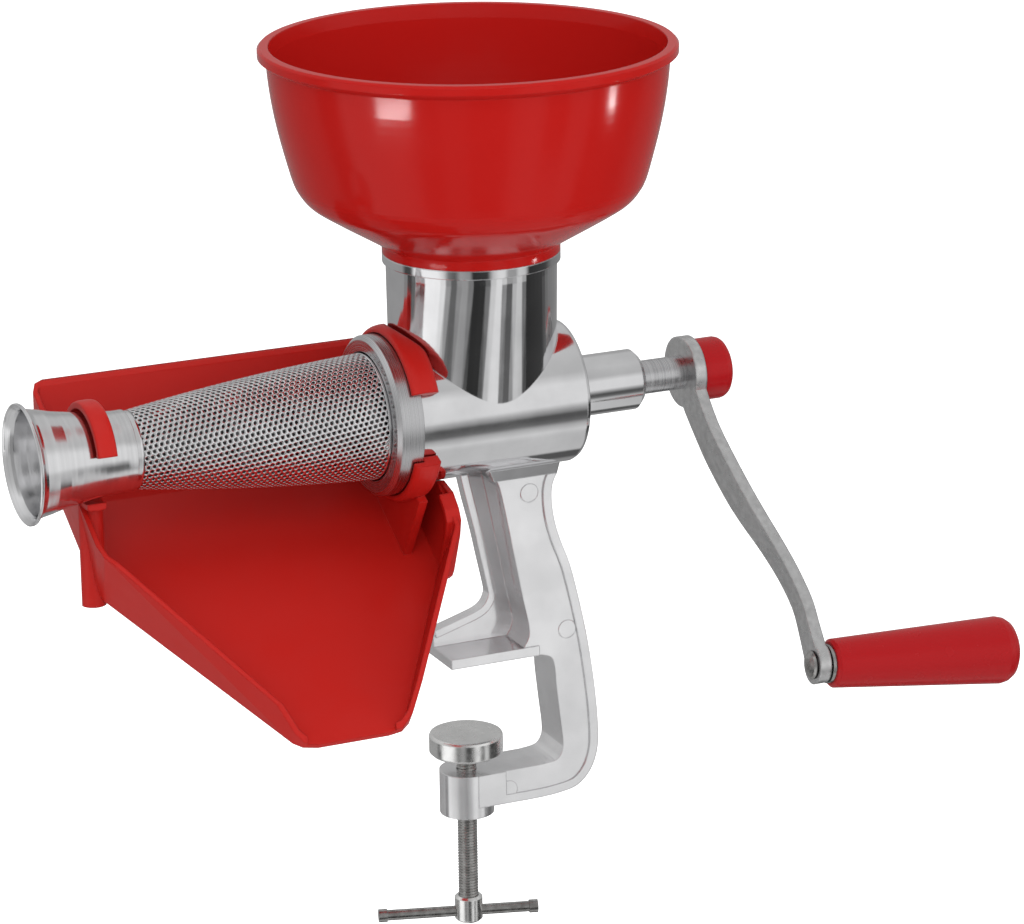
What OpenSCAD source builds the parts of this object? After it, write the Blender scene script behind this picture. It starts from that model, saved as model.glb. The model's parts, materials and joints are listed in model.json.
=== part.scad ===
// Tomato strainer with crank: cast body with table clamp, hopper, tapered
// filter with its feed screw, crank and drip tray. Millimetres.
// Origin: underside of the jaw plate, straight above the clamp screw.
// +X runs along the feed screw towards the crank, +Y away from the user, +Z up.

/* [Layout] */
// height of the feed screw axis above the jaw underside
axis_z = 131; // [126:1:140]
// distance from the clamp screw axis to the hopper axis
chimney_x = 7; // [5:0.5:9]

/* [Barrel] */
// outer radius of the barrel
barrel_r = 35.3; // [34.8:0.1:35.8]
// wall of the barrel round the chamber
barrel_wall = 4.3; // [3.9:0.1:4.7]
// hopper axis to the front face of the barrel
barrel_front = 52; // [51:0.5:53]
// hopper axis to the rear face of the barrel
barrel_rear = 47.3; // [46:0.5:49]
// thickness of the rear wall
rear_wall = 6.3; // [5:0.1:7]
// rounding of the rear rim
rim_round = 2.5; // [1:0.5:4]
// radius of the rear boss
boss_r = 15; // [14.5:0.5:17]
// hopper axis to the end of the rear boss
boss_end = 87.5; // [84:0.5:90]
// chamfer on the end of the rear boss
boss_chamfer = 2.6; // [1:0.1:3]

/* [Chimney] */
// height of the chimney lip above the feed screw axis
chimney_h = 76.3; // [74:0.5:80]
// outer radius of the lip
lip_r = 43; // [42.5:0.5:45]
// height of the lip
lip_h = 4; // [3:0.5:5]
// outer radius of the chimney below the lip
chimney_r = 41.3; // [41:0.1:42]
// half length of the oval foot along the barrel
foot_x = 41.7; // [41:0.1:42.4]
// how far the oval foot stays inside the width of the barrel
foot_in = 1.8; // [0.8:0.1:2.3]
// height up to which the foot stays oval
foot_h = 30; // [28:1:34]
// radius of the seat for the hopper spigot
seat_r = 37; // [36.5:0.1:37.2]
// depth of that seat
seat_h = 14; // [12:0.5:15]
// radius of the throat into the chamber
throat_r = 29; // [27:0.5:29.5]

/* [Frame] */
// half depth of the frame
frame_half = 14; // [13:0.5:16]
// half depth of the frame inside its outer rim
web_half = 12.8; // [12:0.1:13]
// width of the rims
rim_w = 4.5; // [4:0.25:5]
// underside of the barrel to the top of the frame node
frame_gap = 2.7; // [2.2:0.1:3.7]
// hopper axis to the left end of the jaw
jaw_reach = 20; // [18:0.5:21]
// hopper axis to the right side of the frame
frame_reach = 59.2; // [57:0.2:62]
// jaw underside to the top of the lower arm
throat_h = 58.3; // [54:0.1:60]
// thickness of the lower arm
arm_h = 16.8; // [16:0.2:18]
// thickness of the jaw plate
jaw_t = 5; // [4:0.25:6]
// how far the jaw plate runs back behind the axis
jaw_back = 36; // [32:1:40]
// radius of the threaded boss
nut_r = 13.6; // [13:0.2:14]
// height of the threaded boss
nut_h = 22.5; // [21:0.5:24]
// distance of the side web behind the axis
fin_y = 8; // [6:0.5:10]
// thickness of the side web
fin_t = 4; // [3:0.5:5]
// extra thickness of its edge bead to each side
fin_bead = 1.5; // [1:0.25:2]
// radius of the ejector marks
mark_r = 4.7; // [4:0.1:5]
// height of the ejector marks
mark_h = 0.4; // [0.3:0.1:0.8]

/* [Hopper] */
// radius of the hopper rim
hopper_r = 100; // [95:1:104]
// height of the hopper above the chimney
hopper_h = 100.9; // [96:1:106]
// wall of the hopper
hopper_wall = 2.5; // [2:0.1:3]
// height of the rim bead
bead_h = 5.6; // [5:0.2:7]
// gap between spigot and seat
spigot_gap = 0.4; // [0.3:0.05:0.5]

/* [Filter] */
// hopper axis to the small end of the cone
cone_end = 183.4; // [182:0.2:185]
// play of the cone in the chamber
cone_play = 0.1; // [0.05:0.05:0.4]
// outer radius of the cone at its small end
cone_small = 17.8; // [17.4:0.1:18]
// how far the cone bulges in the middle
cone_bulge = 1.8; // [1:0.1:1.8]
// thickness of the sheet
sheet_t = 0.7; // [0.5:0.1:0.9]
// how far the cone flange stays inside the barrel's outer radius
flange_in = 1.1; // [0.7:0.1:1.7]
// thickness of the gasket
gasket_t = 1.5; // [1:0.1:2]
// barrel's outer radius to that of the collar
collar_wall = 3.8; // [3.7:0.1:4.7]
// length of the collar
collar_len = 13.4; // [12.6:0.2:14]
// thickness of the front lip of the collar
collar_lip = 2; // [1.6:0.1:2.4]
// gap between the cone and the front lip
mouth_gap = 0.6; // [0.5:0.05:0.9]
// running gap between collar and barrel
run_gap = 0.1; // [0.06:0.01:0.1]
// radius of the lock pins
pin_r = 2; // [1.8:0.1:2.2]
// how far the lock pins stand out of the barrel
pin_out = 1.9; // [1.6:0.1:2]
// turn of the collar from locked to open, degrees
lock_turn = 25; // [20:1:30]

/* [Waste horn] */
// length of the horn
horn_len = 50.5; // [48:0.5:53]
// outer radius of the horn rim
horn_r = 28.9; // [27:0.2:30]
// wall of the horn
horn_wall = 0.8; // [0.6:0.1:0.8]

/* [Feed screw] */
// gap between the flight and the filter
flight_gap = 0.8; // [0.6:0.1:1.2]
// pitch of the flight
flight_pitch = 34; // [30:1:38]
// share of the pitch taken by the flight
flight_share = 0.14; // [0.1:0.01:0.18]
// core radius at the rear end
core_rear = 12.5; // [12:0.25:13]
// core radius at the front end
core_front = 14; // [13.5:0.25:14.5]
// length of the nose beyond the filter
nose_len = 6; // [4:1:8]
// rear end of the screw, from the hopper axis
screw_rear = 39.5; // [39:0.1:40]

/* [Shaft] */
// radius of the shaft
shaft_r = 8.4; // [8.2:0.1:8.6]
// depth of the shaft inside the feed screw
shaft_in = 90; // [80:1:95]
// outer radius of the bush
bush_r = 11; // [10.8:0.1:11.4]
// running gap of the shaft in bush and seal
shaft_gap = 0.05; // [0.03:0.01:0.08]
// radius of the seal pocket
seal_r = 12.5; // [12:0.1:13]
// length of the seal
seal_len = 5; // [4:0.5:6]
// radius of the thrust washer
thrust_r = 20; // [18:0.5:22]

/* [Crank] */
// swing of the arm towards the user, degrees
crank_angle = 41; // [35:1:47]
// hopper axis to the inner face of the arm
crank_x = 112.5; // [110:0.5:115]
// distance between the two eyes
crank_throw = 162.5; // [155:0.5:170]
// thickness of the arm
arm_t = 6; // [5.5:0.1:6.4]
// sideways bend of the arm
arm_bend = 17.5; // [15:0.5:20]
// radius of the upper eye
eye_r = 17.7; // [17:0.1:18.5]
// radius of the lower eye
tip_r = 9.6; // [9.4:0.1:10.5]
// side of the square drive
square = 11.4; // [11:0.1:11.6]
// gap between square and hole
square_gap = 0.1; // [0.05:0.01:0.2]
// thickness of the crank washer
washer_t = 1; // [0.8:0.1:1.4]
// radius of the knob
knob_r = 15.5; // [14.5:0.1:16.5]
// length of the knob
knob_len = 16; // [15:0.5:18]
// rounding of the knob edge
knob_round = 4; // [3:0.25:5]
// radius of the stud
stud_r = 4; // [3.5:0.1:4.4]

/* [Grip] */
// tilt of the grip, degrees
grip_tilt = 5; // [3:0.5:6]
// length of the grip
grip_len = 99; // [92:1:104]
// radius of the grip near the arm
grip_near = 12; // [11.5:0.1:12.8]
// radius of the grip at its far end
grip_far = 16.7; // [16:0.1:17.4]
// rounding of the far end
grip_round = 8; // [6:0.5:9]
// radius of the spindle
spindle_r = 4; // [3.8:0.1:4.2]
// length of the spindle inside the grip
spindle_in = 62; // [55:1:68]
// radius of the rivet head
rivet_r = 7; // [6:0.25:8]

/* [Clamp screw] */
// major radius of the thread
thread_r = 5; // [4.8:0.1:5.2]
// running gap of the thread
thread_gap = 0.1; // [0.06:0.01:0.1]
// jaw underside to the top of the pad
pad_drop = 39.2; // [37:0.2:40.5]
// radius of the pad
pad_r = 18.4; // [17.5:0.2:19.5]
// thickness of the pad
pad_t = 10.6; // [9.8:0.2:11.4]
// jaw underside to the hub
hub_drop = 126; // [123:0.5:129]
// radius of the hub
hub_r = 7; // [6.6:0.1:7.4]
// height of the hub
hub_h = 13.5; // [12.5:0.5:14.5]
// radius of the cross bar
bar_r = 2.7; // [2.5:0.1:2.8]
// gap of the bar in the hub
bar_gap = 0.32; // [0.3:0.01:0.34]
// length of the cross bar
bar_len = 80.6; // [76:0.2:86]
// how far the bar is pushed to one side
bar_shift = 5.3; // [3:0.1:7]
// direction of the bar, degrees
bar_turn = 17; // [10:1:25]

/* [Tray] */
// slope of the tray floor, degrees
tray_tilt = 32.2; // [30:0.2:34]
// feed screw axis straight down to the tray floor
tray_drop = 70; // [68:0.5:73]
// hopper axis to the left side of the tray
tray_left = 199; // [196:0.5:202]
// hopper axis to the right side of the tray
tray_right = 21; // [20:0.5:22.5]
// length of the floor behind the axis
tray_back = 55.5; // [52:0.5:58]
// length of the floor in front of the axis
tray_front = 108; // [104:0.5:111]
// height of the side walls
tray_h = 36; // [34:0.5:37]
// wall of the tray
tray_wall = 2.5; // [2:0.1:3]
// slope of the back wall against the floor, degrees
back_slope = 34.3; // [32:0.5:37]
// inner radius of the hook round the horn
hook_r = 22.8; // [22.5:0.1:23.2]
// thickness of the hook
hook_t = 3.5; // [3:0.1:4]
// width of the hook
hook_w = 9.4; // [9:0.2:10.6]
// width of the round leg under the hook
leg_w = 12; // [11.4:0.2:12.6]
// gap between the clip and the barrel
clip_gap = 0.6; // [0.4:0.05:0.8]
// thickness of the clip
clip_t = 7.2; // [6.8:0.1:7.6]
// gap between the tray and what it hangs on
tray_gap = 0.6; // [0.5:0.05:0.7]
// width of the clip
clip_w = 13.6; // [13.2:0.2:14]

/* [Hidden] */
$fn = 96;

// small overrun that makes cuts go clean through
over = 0.5;
// a hair of play between pieces that sit tight in each other
tight = 0.02;

// radii that follow the barrel
chamber_r = barrel_r - barrel_wall;
foot_y = barrel_r - foot_in;
frame_drop = barrel_r + frame_gap;
cone_big = chamber_r - cone_play;
flange_r = barrel_r - flange_in;
collar_r = barrel_r + collar_wall;
collar_mouth = cone_big + mouth_gap;
clip_r = barrel_r + clip_gap;

// angles of the straps of the tray, from straight down
hook_start = -14;
hook_sweep = 271;
clip_start = -68;
clip_sweep = 311;

// stations along the feed screw axis, measured from the hopper axis
flange_x = -(barrel_front + gasket_t);
collar_x = flange_x - sheet_t - collar_lip;
chamber_end = barrel_rear - rear_wall;
cone_len = cone_end + flange_x - sheet_t;
horn_lap = 0.08 * horn_len;
horn_x = -(cone_end + horn_len - horn_lap);
eye_end = crank_x + arm_t;
knob_x = eye_end + washer_t;

// frame outline as shares of its width (from the left end of the jaw) and of
// its height (down from the top of the frame)
frame_w = jaw_reach + frame_reach;
frame_h = axis_z - frame_drop + throat_h + arm_h;
outer_shares = [[0.73, 0], [0.7, 0.03], [0.692, 0.07], [0.705, 0.13],
  [0.745, 0.2], [0.81, 0.28], [0.865, 0.38], [0.92, 0.5], [0.955, 0.6],
  [0.982, 0.7], [0.998, 0.79], [0.998, 0.86], [0.975, 0.91], [0.93, 0.95],
  [0.86, 0.98], [0.77, 0.993], [0.6, 1], [0.27, 1]];
throat_shares = [[0.6, 0], [0.68, 0.035], [0.71, 0.13], [0.72, 0.3],
  [0.745, 0.6], [0.762, 0.8], [0.755, 0.91], [0.71, 0.98], [0.6, 1]];
spine_shares = [[0.31, 0], [0.348, 0.045], [0.43, 0.4], [0.495, 0.7],
  [0.54, 0.91], [0.5, 1]];
fin_shares = [[0, 0.852], [0.184, 0.806], [0.294, 0.776], [0.345, 0.745],
  [0.37, 0.7], [0.368, 0.66], [0.327, 0.5], [0.283, 0.327], [0.231, 0.154],
  [0.19, 0]];

// hopper silhouette as shares of rim radius and height
hopper_shares = [[0.43, 0], [0.432, 0.04], [0.45, 0.0565], [0.55, 0.116],
  [0.65, 0.175], [0.74, 0.23], [0.785, 0.262], [0.817, 0.3], [0.846, 0.354],
  [0.88, 0.473], [0.91, 0.592], [0.934, 0.711], [0.951, 0.83], [0.96, 0.93]];

// horn silhouette as shares of rim radius and length, from the rim inwards
horn_shares = [[1, 0], [0.985, 0.01], [0.935, 0.044], [0.896, 0.085],
  [0.855, 0.203], [0.803, 0.322], [0.768, 0.441], [0.734, 0.558],
  [0.706, 0.678], [0.692, 0.8], [0.68, 0.88], [0.677, 0.92], [0.677, 1]];

// half widths of the arm as shares of the lower eye, along the throw
arm_shares = [[0, 1], [0.1, 0.95], [0.2, 0.88], [0.3, 0.92], [0.45, 0.9],
  [0.6, 0.72], [0.75, 0.62], [0.88, 0.66], [1, 0.8]];

// sideways bend of the arm along the throw
rise_shares = [[0, 0], [0.12, 0], [0.25, 0.08], [0.4, 0.31], [0.5, 0.53],
  [0.6, 0.8], [0.7, 1.02], [0.8, 1.14], [0.88, 1.1], [1, 1]];

// plan of the tray at its floor and at the top of its walls: shares of the
// width and of the front length, from the left corner round the spout to the
// right corner
floor_shares = [[0.02, -0.04], [0.03, 0.03], [0.279, 0.67], [0.357, 0.89],
  [0.368, 0.955], [0.39, 0.985], [0.43, 1], [0.63, 1], [0.67, 0.99],
  [0.698, 0.955], [0.732, 0.85], [0.846, 0.52], [0.955, 0.19], [0.985, 0.15]];
brim_shares = [[-0.015, -0.02], [-0.006, 0.055], [0.235, 0.62], [0.335, 0.865],
  [0.35, 0.93], [0.375, 0.975], [0.42, 1], [0.64, 1], [0.685, 0.985],
  [0.715, 0.94], [0.745, 0.84], [0.87, 0.49], [0.965, 0.21], [0.99, 0.17]];

// side view of the right cheek as shares of the drop to the floor, from the
// feed screw axis: back first, then round the lower front corner
cheek_shares = [[0.7, -0.2], [0.1, -0.45], [-0.124, -0.481], [-0.309, -0.531],
  [-0.4, -0.62], [-0.437, -0.697], [-0.416, -0.811], [-0.303, -1.1],
  [-0.27, -1.15], [-0.214, -1.186], [-0.11, -1.209], [-0.026, -1.183],
  [0.04, -0.96], [0.7, -0.54]];

// curve through the given points with n steps per span
function bend(p, n) = [for (i = [0:len(p) - 2]) for (k = [0:n - 1])
  let (a = p[max(i - 1, 0)], b = p[i], c = p[i + 1],
    d = p[min(i + 2, len(p) - 1)], t = k / n)
  (2 * b + (c - a) * t + (2 * a - 5 * b + 4 * c - d) * t * t
    + (3 * b - a - 3 * c + d) * t * t * t) / 2, p[len(p) - 1]];

// point i of a profile moved to its left by t
function left(p, i, t) = let (d = p[min(i + 1, len(p) - 1)] - p[max(i - 1, 0)])
  p[i] + t * [-d[1], d[0]] / norm(d);

function inner(p, t) = [for (i = [len(p) - 1:-1:0]) left(p, i, t)];

function scaled(p, size, start) = [for (q = p)
  [start[0] + q[0] * size[0], start[1] + q[1] * size[1]]];

function cone_r(k) = cone_small + (cone_big - cone_small) * k
  + 4 * cone_bulge * k * (1 - k);

cone_steps = 12;
cone_side = [for (i = [0:cone_steps])
  [cone_r(i / cone_steps), cone_len * i / cone_steps - cone_end]];

// the frame with local Z along the feed screw, towards the crank
module on_axis() {
  translate([chimney_x, 0, axis_z]) rotate([0, 90, 0]) children();
}

// the frame of the crank: X along the shaft, the arm hangs along -Z
module on_crank() {
  translate([chimney_x, 0, axis_z]) rotate([-crank_angle, 0, 0]) children();
}

// the frame of the grip: Z along the grip, from the inner face of the arm
module on_grip() {
  on_crank() translate([crank_x + arm_bend, 0, -crank_throw])
    rotate([0, 90 + grip_tilt, 0]) children();
}

// the frame of the tray floor: Y up the slope, Z square to the floor
module on_tray() {
  translate([chimney_x, 0, axis_z - tray_drop]) rotate([tray_tilt, 0, 0])
    children();
}

module rod(from, to, r) {
  translate([0, 0, from]) cylinder(h = to - from, r = r);
}

module ring(from, to, r_out, r_in) {
  difference() {
    rod(from, to, r_out);
    rod(from - over, to + over, r_in);
  }
}

module shell(side, t) {
  rotate_extrude() polygon(concat(side, inner(side, t)));
}

// a sheet in the XZ plane, from y to y + t
module plate(y, t) {
  translate([0, y + t, 0]) rotate([90, 0, 0]) linear_extrude(t) children();
}

module frame_stub() {
  top = axis_z - chamber_r + rim_w / 4;
  low = axis_z - frame_drop;
  left = chimney_x - jaw_reach;
  plate(-frame_half, 2 * frame_half) polygon([
    [left + 0.3 * frame_w, low], [left + 0.73 * frame_w, low],
    [left + 0.76 * frame_w, top], [left + 0.26 * frame_w, top]]);
  plate(fin_y, fin_t) polygon([
    [left + 0.19 * frame_w, low], [left + 0.4 * frame_w, low],
    [left + 0.4 * frame_w, top], [left + 0.16 * frame_w, top]]);
}

module chimney_bore() {
  translate([chimney_x, 0, axis_z]) {
    rod(chimney_h - seat_h, chimney_h + over, seat_r);
    translate([0, 0, foot_h])
      cylinder(h = chimney_h - seat_h - foot_h, r1 = throat_r, r2 = seat_r);
    rod(0, foot_h, throat_r);
  }
}

module barrel_hole() {
  rod(-barrel_front - over, chamber_end, chamber_r);
  rod(chamber_end - over, boss_end + over, bush_r + tight);
  rod(chamber_end - over, chamber_end + seal_len, seal_r + tight);
  for (side = [0, 180]) rotate([0, 0, side]) pin_hole();
}

module pin_hole() {
  translate([0, 0, -barrel_front + 2 * pin_r + rim_round]) rotate([90, 0, 0])
    translate([0, 0, chamber_r - over]) cylinder(h = barrel_r, r = pin_r + tight,
      $fn = 32);
}

module body_casting() {
  color("silver") difference() {
    union() {
      on_axis() {
        rotate_extrude() polygon([[0, -barrel_front], [barrel_r, -barrel_front],
          [barrel_r, barrel_rear - rim_round],
          [barrel_r - 0.3 * rim_round, barrel_rear - 0.3 * rim_round],
          [barrel_r - rim_round, barrel_rear], [boss_r, barrel_rear],
          [boss_r, boss_end - boss_chamfer], [boss_r - boss_chamfer, boss_end],
          [0, boss_end]]);
      }
      translate([chimney_x, 0, axis_z]) {
        hull() {
          scale([1, foot_y / foot_x, 1]) cylinder(h = foot_h, r = foot_x);
          rod(chimney_h - 2 * lip_h, chimney_h - lip_h, chimney_r);
        }
        rod(chimney_h - lip_h - over, chimney_h, lip_r);
      }
      frame_stub();
    }
    on_axis() barrel_hole();
    chimney_bore();
  }
}

module frame_outline() {
  left = chimney_x - jaw_reach;
  top = axis_z - frame_drop;
  gap = [frame_w, -throat_h];
  polygon(concat(
    bend(scaled(spine_shares, [frame_w, jaw_t - top], [left, top]), 4),
    [[left, jaw_t], [left, 0]],
    bend(scaled(throat_shares, gap, [left, 0]), 4),
    [[left + 0.17 * frame_w, -throat_h], [left + 0.17 * frame_w, -throat_h - arm_h]],
    bend([for (i = [len(outer_shares) - 1:-1:0])
      [left + outer_shares[i][0] * frame_w,
        top - outer_shares[i][1] * frame_h]], 3)));
}

module clamp_frame() {
  left = chimney_x - jaw_reach;
  top = axis_z - frame_drop;
  color("gainsboro") difference() {
    union() {
      difference() {
        plate(-frame_half, 2 * frame_half) frame_outline();
        for (side = [-1, 1]) frame_pocket(side);
      }
      translate([left, -frame_half, 0])
        cube([0.6 * frame_w, frame_half + jaw_back, jaw_t]);
      plate(fin_y, fin_t) fin_outline();
      plate(fin_y - fin_bead, fin_t + 2 * fin_bead)
        polygon(concat(fin_edge(), inner(fin_edge(), -fin_t)));
      rod(-throat_h - nut_h, -throat_h, nut_r);
      marks();
    }
    rod(-throat_h - nut_h - over, -throat_h + over, thread_r + thread_gap);
  }
}

// shallow step that leaves a rim along the outer edge and over the throat
module frame_pocket(side) {
  depth = frame_half - web_half;
  left = chimney_x - jaw_reach;
  top = axis_z - frame_drop;
  edge = bend([for (q = outer_shares)
    [left + q[0] * frame_w, top - q[1] * frame_h]], 3);
  translate([0, side * frame_half, 0]) plate(-depth, 2 * depth)
    polygon(concat([[left + 0.2 * frame_w, top + over],
      [left + 0.2 * frame_w, jaw_t], [left + 0.55 * frame_w, jaw_t],
      [left + 0.63 * frame_w, -1.5 * rim_w],
      [left + 0.345 * frame_w, -3 * rim_w]],
      [for (q = inner(edge, -rim_w)) if (q[0] > left + 0.345 * frame_w) q]));
}

function fin_edge() = bend([for (q = fin_shares)
  [chimney_x - jaw_reach + q[0] * frame_w,
    (axis_z - frame_drop) * (1 - q[1])]], 3);

module fin_outline() {
  left = chimney_x - jaw_reach;
  top = axis_z - frame_drop;
  polygon(concat([[left, 0]], fin_edge(), [[left + 0.36 * frame_w, top],
    [left + 0.5 * frame_w, top / 2], [left + 0.58 * frame_w, 0]]));
}

module marks() {
  left = chimney_x - jaw_reach;
  top = axis_z - frame_drop;
  for (q = mark_shares) plate(-web_half - mark_h, mark_h)
    translate([left + q[0] * frame_w, top - q[1] * frame_h])
      circle(r = mark_r, $fn = 32);
}

// ejector marks on the front web, as shares of the frame
mark_shares = [[0.546, 0.05], [0.795, 0.487], [0.38, 0.96]];

module hopper() {
  side = scaled(hopper_shares, [hopper_r, hopper_h], [0, chimney_h]);
  lip = chimney_h + hopper_h;
  edge = 0.96 * hopper_r;
  spigot = seat_r - spigot_gap;
  color("firebrick") translate([chimney_x, 0, axis_z]) rotate_extrude()
    polygon(concat(
      [[spigot - hopper_wall, chimney_h - 0.9 * seat_h],
       [spigot, chimney_h - 0.9 * seat_h], [spigot, chimney_h]],
      bend(side, 3),
      [[edge + hopper_wall, lip - bead_h], [hopper_r, lip - 0.8 * bead_h],
       [hopper_r, lip - 0.2 * bead_h], [hopper_r - 0.2 * bead_h, lip],
       [edge - hopper_wall / 2, lip]],
      [for (p = inner(bend(side, 3), hopper_wall))
        if (p[1] > chimney_h + 2 * hopper_wall) p],
      [[spigot - hopper_wall, chimney_h + hopper_wall]]));
}

module filter_cone() {
  color("lightgray") on_axis() {
    shell(cone_side, sheet_t);
    ring(flange_x - sheet_t, flange_x, flange_r, cone_big - sheet_t);
  }
}

module filter_gasket() {
  color("dimgray") on_axis()
    ring(flange_x, -barrel_front, flange_r, chamber_r);
}

module lock_slot() {
  turn = asin((pin_r + bar_gap) / barrel_r);
  mid = -barrel_front + 2 * pin_r + rim_round;
  half = pin_r + bar_gap;
  reach = barrel_r + pin_out + bar_gap;
  for (side = [0, 180]) rotate([0, 0, side - 90 - turn]) {
    translate([0, 0, mid - half]) rotate_extrude(angle = lock_turn + 2.3 * turn)
      translate([barrel_r - over, 0]) square([reach - barrel_r + over, 2 * half]);
    rotate([0, 0, lock_turn]) translate([0, 0, mid])
      rotate_extrude(angle = 2 * turn) translate([barrel_r - over, 0])
        square([reach - barrel_r + over, collar_len]);
  }
}

module filter_collar() {
  color("darkgray") on_axis() difference() {
    rotate_extrude() polygon([
      [collar_mouth, collar_x], [collar_r - collar_lip, collar_x],
      [collar_r, collar_x + collar_lip], [collar_r, collar_x + collar_len],
      [barrel_r + run_gap, collar_x + collar_len],
      [barrel_r + run_gap, collar_x + collar_lip],
      [collar_mouth, collar_x + collar_lip]]);
    lock_slot();
  }
}

module bayonet_pins() {
  color("slategray") on_axis() for (side = [0, 180]) rotate([0, 0, side])
    translate([0, 0, -barrel_front + 2 * pin_r + rim_round]) rotate([90, 0, 0])
      translate([0, 0, chamber_r + tight])
        cylinder(h = barrel_r + pin_out - chamber_r, r = pin_r, $fn = 32);
}

module waste_horn() {
  side = bend(scaled(horn_shares, [horn_r, horn_len], [0, horn_x]), 2);
  color("gray") on_axis() {
    shell(side, horn_wall);
    translate([0, 0, horn_x + horn_wall]) rotate_extrude()
      translate([horn_r - horn_wall, 0]) circle(r = horn_wall, $fn = 24);
  }
}

// room for the feed screw: the chamber, then the cone, less the gap
module screw_room() {
  gap = sheet_t + flight_gap;
  nose = cone_small - gap;
  rotate_extrude() polygon(concat(
    [[0, -cone_end - nose_len], [0.6 * nose, -cone_end - nose_len],
     [0.92 * nose, -cone_end - 0.6 * nose_len]],
    [for (p = cone_side) [p[0] - gap, p[1]]],
    [[cone_big - gap, screw_rear], [0, screw_rear]]));
}

module auger() {
  length = cone_end + nose_len + screw_rear;
  turns = length / flight_pitch;
  share_angle = 360 * flight_share;
  color("whitesmoke") on_axis() difference() {
    union() {
      intersection() {
        screw_room();
        translate([0, 0, -cone_end - 0.3 * nose_len]) linear_extrude(
          height = length - 0.7 * nose_len, twist = -360 * turns,
          slices = ceil(turns * 22), $fn = 16)
          polygon(concat([[0, 0]], [for (i = [0:6])
            barrel_r * [cos(i * share_angle / 6), sin(i * share_angle / 6)]]));
      }
      rotate_extrude($fn = 48) polygon([
        [0, -cone_end - nose_len], [0.6 * core_front, -cone_end - nose_len],
        [core_front, -cone_end - 0.5 * nose_len], [core_rear, screw_rear],
        [0, screw_rear]]);
      translate([0, 0, screw_rear - rear_wall])
        cylinder(h = rear_wall, r = thrust_r, $fn = 64);
    }
    rod(screw_rear - shaft_in, screw_rear + over, shaft_r + tight);
  }
}

module auger_shaft() {
  color("lightsteelblue") difference() {
    union() {
      on_axis() rod(screw_rear - shaft_in + tight, crank_x, shaft_r);
      on_crank() translate([crank_x - over, -square / 2, -square / 2])
        cube([arm_t + over, square, square]);
    }
    on_axis() rod(eye_end - 3 * stud_r, eye_end + over, stud_r + tight);
  }
}

module shaft_bush() {
  color("peru") on_axis()
    ring(chamber_end + seal_len, boss_end, bush_r, shaft_r + shaft_gap);
}

module shaft_seal() {
  color("black") on_axis()
    ring(chamber_end, chamber_end + seal_len, seal_r, shaft_r + shaft_gap);
}

module thrust_washer() {
  color("burlywood") on_axis()
    ring(screw_rear, chamber_end, thrust_r, shaft_r + bar_gap);
}

module arm_side() {
  top = [[crank_x, 2 * eye_r]];
  low = [[crank_x + arm_bend - 2 * tip_r * tan(grip_tilt),
    -crank_throw - 2 * tip_r]];
  line = concat(top, bend([for (q = rise_shares)
    [crank_x + arm_bend * q[1], -crank_throw * q[0]]], 3), low);
  polygon(concat(line, [for (i = [len(line) - 1:-1:0]) line[i] + [arm_t, 0]]));
}

module arm_front() {
  side = bend(scaled(arm_shares, [crank_throw, tip_r], [0, 0]), 3);
  reach = arm_bend + 3 * arm_t;
  rotate([0, 90, 0]) cylinder(h = reach, r = eye_r);
  translate([0, 0, -crank_throw]) rotate([0, 90, 0]) cylinder(h = reach, r = tip_r);
  rotate([90, 0, 90]) linear_extrude(reach) polygon(concat(
    [for (q = side) [q[1], -q[0]]],
    [for (i = [len(side) - 1:-1:0]) [-side[i][1], -side[i][0]]]));
}

module crank_arm() {
  hole = square + 2 * square_gap;
  color("silver") difference() {
    on_crank() difference() {
      intersection() {
        rotate([90, 0, 0]) linear_extrude(3 * eye_r, center = true) arm_side();
        translate([crank_x - over, 0, 0]) arm_front();
      }
      translate([crank_x - over, -hole / 2, -hole / 2])
        cube([arm_t + 2 * over, hole, hole]);
    }
    on_grip() rod(-arm_t, 2 * arm_t, spindle_r + tight);
  }
}

module crank_washer() {
  color("lightgray") on_axis()
    ring(eye_end, knob_x, 0.86 * knob_r, stud_r + bar_gap);
}

module crank_knob() {
  far = knob_x + knob_len;
  color("firebrick") on_axis() difference() {
    rotate_extrude() polygon([[0, knob_x], [knob_r, knob_x],
      [knob_r, far - knob_round], [knob_r - 0.1 * knob_round, far - 0.6 * knob_round],
      [knob_r - 0.3 * knob_round, far - 0.3 * knob_round],
      [knob_r - 0.6 * knob_round, far - 0.1 * knob_round],
      [knob_r - knob_round, far], [0, far]]);
    rod(knob_x - over, knob_x + 0.75 * knob_len, stud_r + tight);
  }
}

module knob_stud() {
  color("dimgray") on_axis()
    rod(eye_end - 3 * stud_r + tight, knob_x + 0.75 * knob_len - tight, stud_r);
}

module grip_spindle() {
  face = arm_t / cos(grip_tilt);
  color("lightsteelblue") on_grip() {
    rotate_extrude() polygon([[0, -0.45 * rivet_r], [0.5 * rivet_r, -0.4 * rivet_r],
      [0.85 * rivet_r, -0.25 * rivet_r], [rivet_r, -0.1 * rivet_r],
      [rivet_r, -0.1 * rivet_r + tight], [spindle_r, -0.1 * rivet_r + tight],
      [spindle_r, face + spindle_in - spindle_r],
      [spindle_r + 2 * run_gap, face + spindle_in - spindle_r / 2],
      [spindle_r / 2, face + spindle_in], [0, face + spindle_in]]);
  }
}

// where washer and grip start, from the inner face of the arm
washer_at = arm_t / cos(grip_tilt) + tip_r * tan(grip_tilt) + tight;
grip_at = washer_at + 2 * washer_t;

module grip_washer() {
  color("lightgray") on_grip()
    ring(washer_at, grip_at, 0.8 * grip_near, spindle_r + tight);
}

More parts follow.
